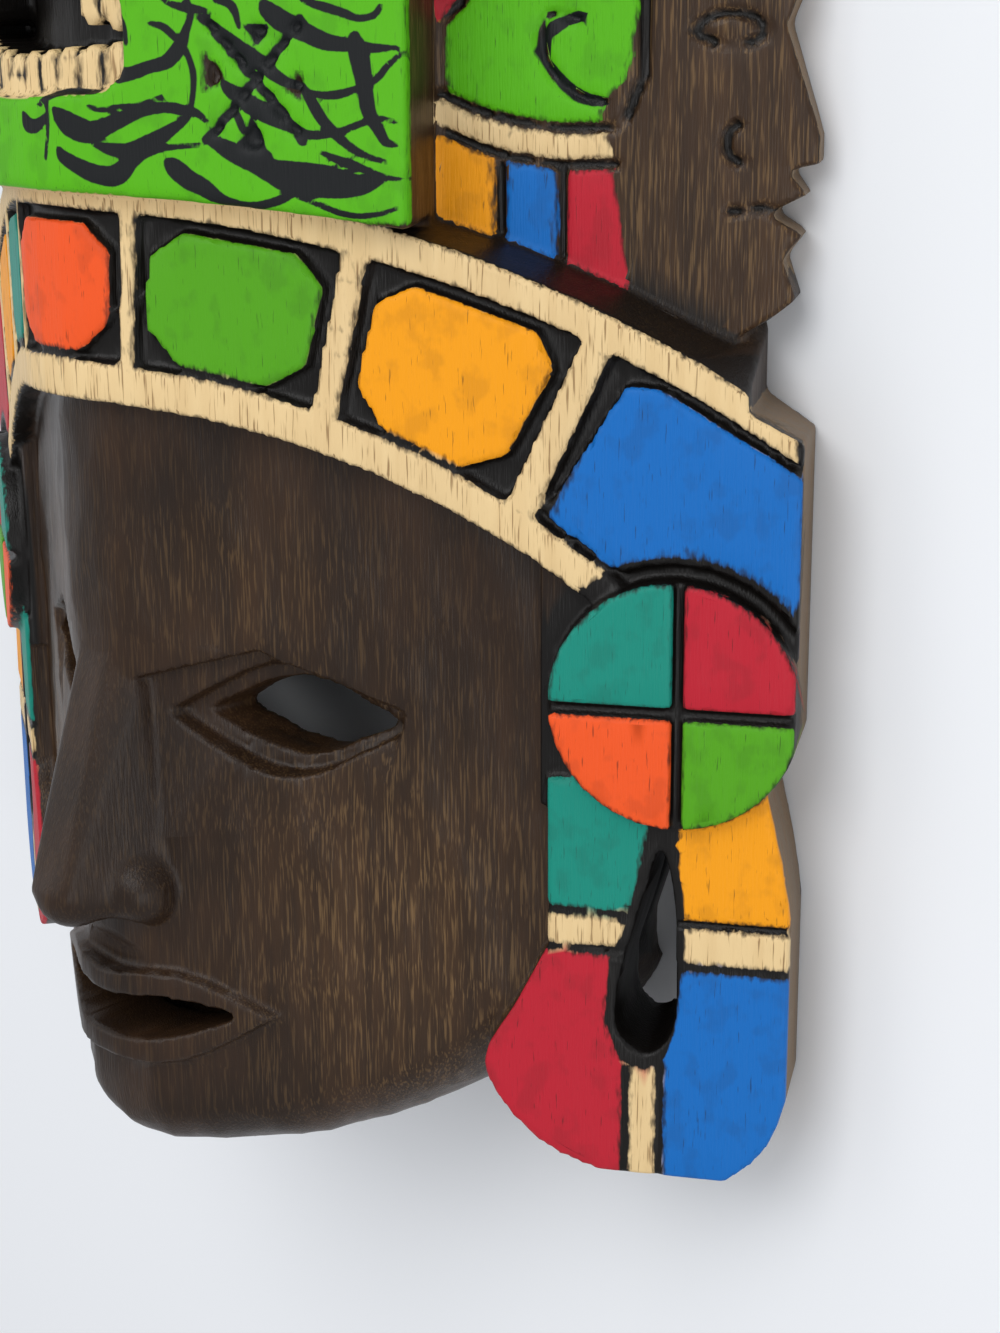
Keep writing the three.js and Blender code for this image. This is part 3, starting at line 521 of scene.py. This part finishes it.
# Each stroke of the brush: points across and up, and its width there. The first group and the crossed
# cuts are on the jaw, and those from 229 up are over the mouth's corners, the eyes and the brow.
strokes = (
    ((11.5, 207.5, 1), (13, 206, 3.2), (15, 204.5, 4.5), (18, 203.5, 4), (20.5, 204.5, 3.2), (23.5, 206, 2.7),
     (27, 207.5, 2.2), (30.5, 208, 2), (33.5, 207.5, 2), (35.5, 207, 1.4), (37, 205.5, 0.8)),
    ((34.5, 226.5, 1), (35, 224, 1.1), (34, 221, 1.5), (33, 218.5, 2.4), (31, 216, 2.5), (28, 215, 2.3),
     (25.5, 214, 2.4), (23, 213.5, 2.8)),
    ((34, 218, 1), (35, 214.5, 1.1), (35, 211.5, 1), (34.5, 208, 1), (33.5, 206, 1.4), (31, 204, 2.2),
     (28, 202, 3), (24.5, 200.5, 2.7), (21.5, 200.5, 2.4), (18.5, 201.5, 1)),
    ((12, 200.5, 1), (13, 199, 2.4), (15.5, 197.5, 3), (19, 196, 3.5), (22, 196, 3.7), (24.5, 198.5, 2.7),
     (27, 200, 1.8), (30.5, 201, 1.2), (35.5, 201.5, 0.9)),
    ((18, 208, 0.9), (20, 207.5, 1), (23, 208, 1.1), (26.5, 208.5, 0.9), (30, 210, 0.7)),
    ((8, 208, 0.8), (10, 209.5, 1.4), (13, 210.5, 1.3), (16, 210.5, 1), (19, 210.5, 0.7)),
    ((4.5, 206.5, 1), (5.5, 204.5, 2.8), (7.5, 204.5, 2.4), (9.5, 206, 1.2)),
    ((10, 208.5, 0.8), (10, 204, 0.8), (9, 198.5, 0.8)),
    ((30.5, 198.5, 1.5), (31.5, 197.5, 3.2), (33.5, 195.5, 3.5), (36, 194, 3.2), (38.5, 192, 2.4),
     (41.5, 191, 1.7), (44.5, 191, 1.5), (48, 192, 1.6), (50.5, 193.5, 1.4)),
    ((50.5, 193, 0.9), (54, 191.5, 1), (57.5, 190, 1.2), (60.5, 189.5, 1.1), (64, 190, 0.9),
     (66.5, 191, 0.8)),
    ((37, 202.5, 1.3), (39, 201.5, 2.7), (41.5, 200, 3.5), (44.5, 198.5, 3.7), (47.5, 197, 4.5),
     (50.5, 196, 5.9), (55, 195.5, 5.9), (58.5, 195, 4.8), (61.5, 195, 3.2), (64.5, 196, 1.2)),
    ((55, 200.5, 0.8), (57, 199.5, 1.4), (59.5, 198.5, 1.8), (62, 197.5, 1.3), (64.5, 196.5, 1.1),
     (67, 196, 0.7)),
    ((37.5, 223, 1), (39.5, 221, 2.1), (42, 218.5, 3), (44.5, 216.5, 3.2), (47, 214.5, 2.4), (49, 213, 2),
     (51.5, 211.5, 1.2), (54.5, 210.5, 1.3), (57.5, 210.5, 1.6), (60.5, 211.5, 1.3), (63.5, 213, 1.2),
     (65.5, 215.5, 1.1), (67.5, 217.5, 0.8)),
    ((39.5, 212.5, 1.2), (41.5, 210.5, 2.7), (44, 208.5, 3.2), (46.5, 207, 3.2), (49, 205.5, 2.4),
     (51.5, 204, 1.7), (54, 203.5, 1.6), (57.5, 204, 1.3), (61, 205.5, 1.2), (64, 206.5, 1),
     (66.5, 206, 0.8)),
    ((46.5, 226, 1.5), (47.5, 224.5, 3.2), (50, 222.5, 3.7), (53, 221, 3.3), (56, 219.5, 3), (59.5, 219, 2.4),
     (63, 218.5, 1.8), (67, 218.5, 0.8)),
    ((52.5, 226.5, 1), (55.5, 225.5, 1.6), (58.5, 224.5, 1.6), (61, 223.5, 1.3), (63.5, 224, 1.2),
     (64.5, 225.5, 1)),
    ((60.5, 220.5, 1.8), (61, 218, 3.2), (61.5, 215, 3), (62, 211, 2.5), (62.5, 207.5, 2.4), (64, 204.5, 1.9),
     (65, 202.5, 1.6), (66.5, 202, 1)),
    ((52, 212, 1.3), (53.5, 209.5, 1.9), (55, 206.5, 1.9), (57, 204, 1.8), (59.5, 201.5, 1.5), (62, 200, 1.2),
     (65, 199, 0.8)),
    ((41, 207.5, 1.4), (42, 206, 1.4), (42.5, 204, 0.8)),
    ((44.5, 201.5, 1.7), (46, 199.5, 2.7)),
    ((22, 226, 1.2), (23, 224, 1.5), (24, 222, 1.4), (24.5, 219, 0.8)),
    ((28.5, 222.5, 1), (30.5, 222, 1.3), (32, 220.5, 1.3), (33, 219.5, 1)),
    ((30.5, 226.5, 0.8), (33, 225.5, 1.4), (35.5, 225, 1.6), (38, 224.5, 0.8)),
    ((39, 226.5, 1.1), (41, 226, 1.6), (42, 224.5, 1.3), (42.5, 222, 0.8)),
    ((36.8, 202.4, 1.7), (52, 223.4, 1.7)),
    ((52, 202.4, 1.7), (36.8, 223.4, 1.7)),
    ((28, 229, 1), (34, 232, 2.6), (42, 231, 3), (50, 232.5, 2.2), (58, 231, 2.6), (66, 233, 1)),
    ((30, 238, 1), (36, 240, 2.4), (45, 238, 3.2), (54, 240, 2.4), (62, 238.5, 2.8), (69, 240, 1)),
    ((33, 247, 1), (40, 245.5, 2.6), (49, 246.5, 2.6), (58, 246, 3), (68, 249, 1)),
    ((28.5, 262, 1), (32, 252.5, 2), (40, 250.5, 2.4), (49, 252.5, 2), (53, 260, 1)),
    ((28, 266, 1), (33, 273, 2), (40, 275, 2.2), (48, 271, 2), (53, 264, 1)),
    ((4, 266, 1), (10, 270, 2.2), (17, 270, 2.2), (22, 265, 1)),
    ((3, 276, 1), (11, 280, 2.4), (20, 279, 2.4), (28, 272, 1)),
    ((3, 287, 1), (12, 291, 2.4), (22, 289, 2.4), (31, 281, 1)),
    ((56, 256, 1), (61, 262, 2), (62, 270, 1)),
)

# The ink stays on the head's front, and doesn't run down the crest's wall
crest_foot = 282
takes_ink = over_animal & ((facing > 0.6) | (height < crest_foot))
nostril_r = np.hypot((side - 9) / 3.6, (height - 251) / 2.6)
for points in strokes:
    ink(takes_ink, stroke(points, side, height))
for nick in nick_black:
    ink(takes_ink, inside(nick, side, height))
for dark in (pupil_radius - eye_r, (1 - nostril_r) * 3, 0.7 - np.abs(eye_r - 10.2)):
    ink(takes_ink, dark)

# How far the dark stain is rubbed back to golden wood, partly as wear and partly as painted light: most on
# the cheeks and the profile heads, hardly under the brow, round the mouth and along the jaw, where it stays
# dark as painted shade, and evenly in the hollow
rubbed_and_lit = 0.12 + 0.88 * np.exp(-((side - 56) / 26) ** 2 - ((height - 48) / 40) ** 2)
rubbed_and_lit += 0.35 * np.exp(-((side - 30) / 22) ** 2 - ((height - 118) / 16) ** 2)
rubbed_and_lit = np.where((along > animal_wall) & (height > 165), 0.75, rubbed_and_lit)
rubbed_and_lit = np.where((np.abs(along - animal_wall) < 1.2) & (height > 186), 0.55, rubbed_and_lit)
rubbed_and_lit = np.where(lift < hollow_level, 0.3, rubbed_and_lit)
rubbed_and_lit = np.clip(rubbed_and_lit, 0, 1)


def remember(name, values):
    """Keeps one number for each point of the mask, for its material to read."""
    layer = mask.data.attributes.new(name, "FLOAT", "POINT")
    layer.data.foreach_set("value", np.asarray(values, np.float32))


def linear(code):
    """Turns an sRGB hex colour such as "3A2A1E" to linear red, green, blue and alpha."""
    parts = [int(code[i:i + 2], 16) / 255 for i in (0, 2, 4)]
    return [p / 12.92 if p <= 0.04045 else ((p + 0.055) / 1.055) ** 2.4 for p in parts] + [1.0]


remember("painted", np.clip(painted, -4, 4))
remember("brushed", np.clip(brushed, -4, 4))
remember("scorched", scorched)
remember("rubbed_and_lit", rubbed_and_lit)
remember("bare", np.isin(colour_of, [list(colours).index(name) for name in bare_woods]))
palette = np.array([linear(code) for code in colours.values()], np.float32)
layer = mask.data.attributes.new("coat", "FLOAT_COLOR", "POINT")
layer.data.foreach_set("color", palette[colour_of].ravel())

# Stained hardwood, waxed and painted by hand. The grain runs up the mask. The stain is dark, lighter on the
# cheeks as wear and painted light, and the fine pores show in gold where it is light and in black through the
# paint.
wood = bpy.data.materials.new("stained_and_painted_hardwood")
wood.use_nodes = True
tree = wood.node_tree
shader = tree.nodes["Principled BSDF"]

# The sockets of a node that mixes colours: how much of the second, the two colours, and the result
share_in, first_in, second_in, mixed = 0, 6, 7, 2

# Noise drawn out along the grain: pitch across it and length along it in millimetres, detail, place
grains = {
    "pores": (0.42, 9.0, 2.0, 0.0),
    "fine_pores": (0.35, 5.0, 2.0, 3.0),
    "streaks": (3.0, 60.0, 3.0, 7.0),
    "clouds": (20.0, 34.0, 2.0, 11.0),
    "fray": (0.9, 3.2, 3.0, 5.0),
    "smudges": (5.0, 7.0, 3.0, 15.0),
}


def add(kind, inputs=(), output=0, **settings):
    """Adds a node with its settings. Inputs are pairs of a socket and a value or the output it takes."""
    made = tree.nodes.new(kind)
    for name, value in settings.items():
        setattr(made, name, value)
    for socket, source in inputs:
        if isinstance(source, bpy.types.NodeSocket):
            tree.links.new(source, made.inputs[socket])
        else:
            made.inputs[socket].default_value = source
    return made.outputs[output]


place = add("ShaderNodeTexCoord", output="Object")
noise = {}
for name, (pitch, length, detail, seed) in grains.items():
    scale = (per_metre / pitch, per_metre / length, per_metre / pitch)
    spot = add("ShaderNodeMapping", (("Vector", place), ("Location", (seed, seed, seed)), ("Scale", scale)))
    noise[name] = add("ShaderNodeTexNoise", (("Vector", spot), ("Scale", 1.0), ("Detail", detail)), "Fac")

field = {}
for name in ("painted", "brushed", "scorched", "rubbed_and_lit", "bare"):
    field[name] = add("ShaderNodeAttribute", output="Fac", attribute_name=name)

# What covers the wood and how much of it. Noises show in smooth steps: where each begins to show
# and where it shows fully.
# The share that lightens the stain, for wear and as painted light; where it is low it leaves painted shade
cover = {"rubbed_and_lit": field["rubbed_and_lit"]}
for name, source, low, high in (
    ("pores", "pores", 0.5, 0.68),
    ("brown_flecks", "pores", 0.56, 0.7),
    ("black_flecks", "fine_pores", 0.65, 0.74),
    ("streaks", "streaks", 0.34, 0.7),
    ("clouds", "clouds", 0.36, 0.66),
    ("smudges", "smudges", 0.5, 0.66),
):
    cover[name] = add("ShaderNodeMapRange", (("Value", noise[source]), ("From Min", low), ("From Max", high)),
                      interpolation_type="SMOOTHSTEP")
golden = ((0, cover["pores"]), (1, cover["rubbed_and_lit"]))
cover["pores_where_rubbed_and_lit"] = add("ShaderNodeMath", golden, operation="MULTIPLY")

# Three finishes, each a first colour and the layers over it, with how strongly each layer shows:
# the stain from near black to rubbed brown with golden pores, lightened by wear and painted light and left
# dark as painted shade, bare wood with brown pores, and coats of paint with black pores and faint smudges
coat = add("ShaderNodeAttribute", output="Color", attribute_name="coat")
finishes = {
    "stain": (linear("1A100A"), (
        ("clouds", 1.0, "2F1F14"), ("rubbed_and_lit", 0.75, "4A3420"),
        ("streaks", 0.5, "1F140D"), ("pores_where_rubbed_and_lit", 0.5, "8A6C46"),
    )),
    "timber": (coat, (("streaks", 0.15, "A87B3E"), ("brown_flecks", 0.7, "6E4A22"))),
    "film": (coat, (("smudges", 0.14, "1C1A14"), ("black_flecks", 0.55, "1A160F"))),
}
finished = {}
for name, (colour, layers) in finishes.items():
    for layer, strength, tone in layers:
        share = add("ShaderNodeMath", ((0, cover[layer]), (1, strength)), operation="MULTIPLY")
        layered = ((share_in, share), (first_in, colour), (second_in, linear(tone)))
        colour = add("ShaderNodeMix", layered, mixed, data_type="RGBA")
    finished[name] = colour

# Worn edges, in millimetres: paint ends in a frayed line, soot creeps over its rim, and brushed ink
# lies on top with a steadier edge
fray = 1.1
soot_spread = 2.6
ink_spread = 0.25
paint_blur = 0.12
ink_blur = 0.1
uneven = add("ShaderNodeMath", ((0, noise["fray"]), (1, fray), (2, -fray / 2)), operation="MULTIPLY_ADD")
edge = add("ShaderNodeMath", ((0, field["painted"]), (1, uneven)), operation="ADD")
rim = add("ShaderNodeMath", ((0, uneven), (1, soot_spread), (2, field["painted"])), operation="MULTIPLY_ADD")
line = add("ShaderNodeMath", ((0, uneven), (1, ink_spread), (2, field["brushed"])), operation="MULTIPLY_ADD")
covered = add("ShaderNodeMapRange", (("Value", edge), ("From Min", -paint_blur), ("From Max", paint_blur)))
inked = add("ShaderNodeMapRange", (("Value", line), ("From Min", -ink_blur), ("From Max", ink_blur)))
soot_range = (("Value", rim), ("From Min", -0.3), ("From Max", 0.9), ("To Min", 0.8), ("To Max", 0.0))
soot = add("ShaderNodeMapRange", soot_range, interpolation_type="SMOOTHSTEP")

# From the wood up: paint and bare wood with soot, over stained or scorched ground, under ink
over_film = ((share_in, field["bare"]), (first_in, finished["film"]), (second_in, finished["timber"]))
painted_wood = add("ShaderNodeMix", over_film, mixed, data_type="RGBA")
under_soot = ((share_in, soot), (first_in, painted_wood), (second_in, linear("19110A")))
painted_wood = add("ShaderNodeMix", under_soot, mixed, data_type="RGBA")
scorching = ((share_in, field["scorched"]), (first_in, finished["stain"]), (second_in, linear("0D0A08")))
ground = add("ShaderNodeMix", scorching, mixed, data_type="RGBA")
painting = ((share_in, covered), (first_in, ground), (second_in, painted_wood))
body = add("ShaderNodeMix", painting, mixed, data_type="RGBA")
inking = ((share_in, inked), (first_in, body), (second_in, linear("0F1214")))
body = add("ShaderNodeMix", inking, mixed, data_type="RGBA")
tree.links.new(body, shader.inputs["Base Color"])

# The wax shines a little, less over the paint, and the open pores break the sheen
waxed, dull = 0.3, 0.5
paint_dulls_by = 0.14
pore_depth = 0.0003

gloss = add("ShaderNodeMapRange", (("Value", noise["streaks"]), ("To Min", waxed), ("To Max", dull)))
matt = add("ShaderNodeMath", ((0, covered), (1, paint_dulls_by), (2, gloss)), operation="MULTIPLY_ADD")
tree.links.new(matt, shader.inputs["Roughness"])
shader.inputs["IOR"].default_value = 1.45
shader.inputs["Specular IOR Level"].default_value = 0.3
relief = add("ShaderNodeMath", ((0, noise["pores"]), (1, noise["fine_pores"])), operation="ADD")
bump = add("ShaderNodeBump", (("Height", relief), ("Strength", 0.3), ("Distance", pore_depth)))
tree.links.new(bump, shader.inputs["Normal"])

mask.data.materials.append(wood)
bpy.ops.object.shade_smooth()
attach(mask, "root")
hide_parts("carved_mask")

# The floor: a sheet of matt white paper that the mask lies on
paper_size = 12.0

bpy.ops.mesh.primitive_plane_add(size=paper_size, location=(0, 0, 0))
paper = bpy.context.object
paper.name = "paper_floor"
paper_coat = bpy.data.materials.new("matt_white_paper")
paper_coat.use_nodes = True
paper_shader = paper_coat.node_tree.nodes["Principled BSDF"]
paper_shader.inputs["Base Color"].default_value = linear("ECEEF1")
paper_shader.inputs["Roughness"].default_value = 0.85
paper.data.materials.append(paper_coat)

# Soft studio light: a broad lamp over the mask's brow and fainter ones from its sides, each with its
# place and width in metres and its power in watts
lamps = (
    ("broad_lamp", (0.25, 0.75, 1.1), 0.9, 8.5),
    ("side_lamp", (1.1, -0.25, 0.8), 0.7, 4.0),
    ("far_lamp", (-0.9, 0.3, 0.9), 0.8, 2.0),
)
for name, spot, width, power in lamps:
    bpy.ops.object.light_add(type="AREA", location=spot)
    lamp = bpy.context.object
    lamp.name = name
    lamp.data.size = width
    lamp.data.energy = power
    lamp.rotation_euler = (Vector((0, 0, 0.05)) - Vector(spot)).to_track_quat("-Z", "Y").to_euler()

sky = bpy.data.worlds.new("pale_room")
sky.use_nodes = True
sky.node_tree.nodes["Background"].inputs["Color"].default_value = linear("F4F6FA")
sky.node_tree.nodes["Background"].inputs["Strength"].default_value = 0.6
bpy.context.scene.world = sky
bpy.context.scene.view_settings.view_transform = "Standard"
